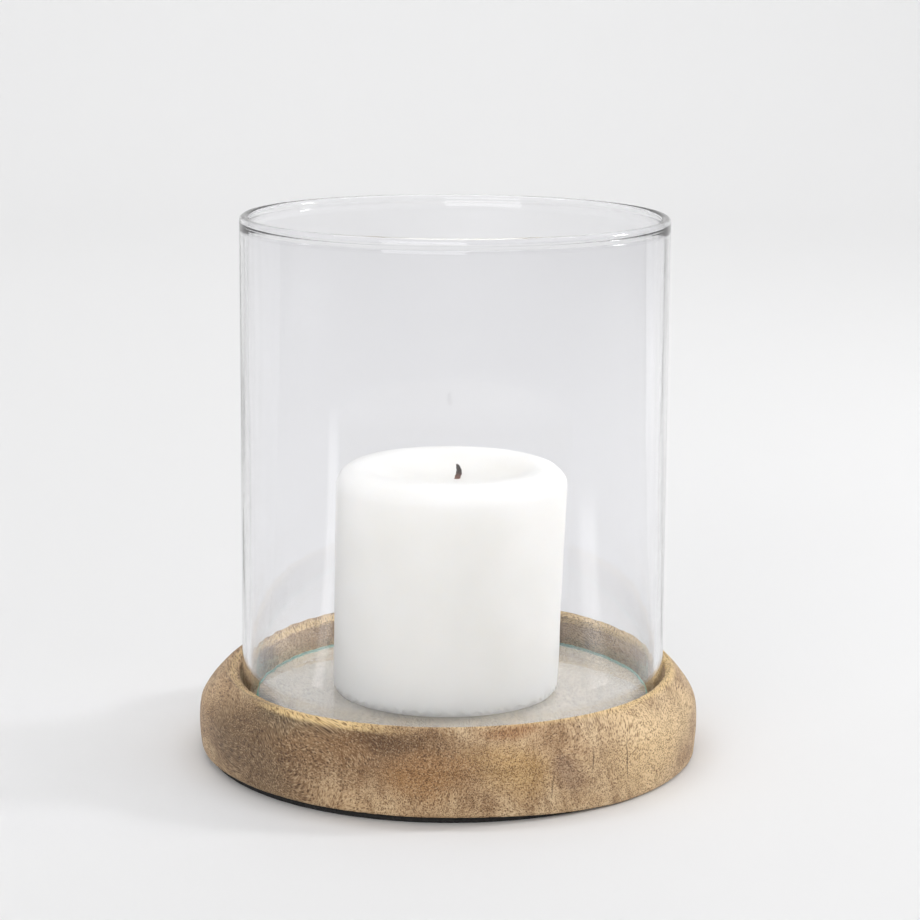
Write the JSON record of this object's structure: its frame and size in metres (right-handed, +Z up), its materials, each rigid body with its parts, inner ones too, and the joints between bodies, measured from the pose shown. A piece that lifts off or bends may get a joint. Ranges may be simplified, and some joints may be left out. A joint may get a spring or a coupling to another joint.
{
  "type": "hurricane candle lantern",
  "caption": "Round turned wooden dish holding a loose glass plate, a pillar candle and a clear glass tube, open at the top, that shields the flame.",
  "frame": {"origin": "on the table at the middle of the underside of the base", "axes": "+Z up, along the glass tube; +X towards the side where the recess sits off centre, to the viewer's right; -Y towards the viewer"},
  "size_m": [0.166, 0.166, 0.178],
  "materials": {
    "wood": "bare, sanded mango wood with a faint sheen",
    "felt": "black pressed felt",
    "plate_glass": "polished faces, rough cut green edge",
    "tube_glass": "clear, fire-polished rims",
    "wax": "satin white wax",
    "wick": "charred cotton braid",
    "tin": "pressed tinplate"
  },
  "bodies": {
    "base": {"wooden_base": "wood", "felt_pad": "felt"},
    "cylinder": {"glass_cylinder": "tube_glass"},
    "plate": {"glass_plate": "plate_glass"},
    "candle": {"candle_wax": "wax", "candle_wick": "wick", "wick_tab": "tin"}
  },
  "joints": [
    {"name": "cylinder_lift", "type": "slide", "parent": "base", "child": "cylinder", "axis": [0, 0, 1], "range_m": [0, 0.11]},
    {"name": "plate_lift", "type": "slide", "parent": "base", "child": "plate", "axis": [0, 0, 1], "range_m": [0, 0.03]},
    {"name": "candle_lift", "type": "slide", "parent": "plate", "child": "candle", "axis": [0, 0, 1], "range_m": [0, 0.165]}
  ]
}
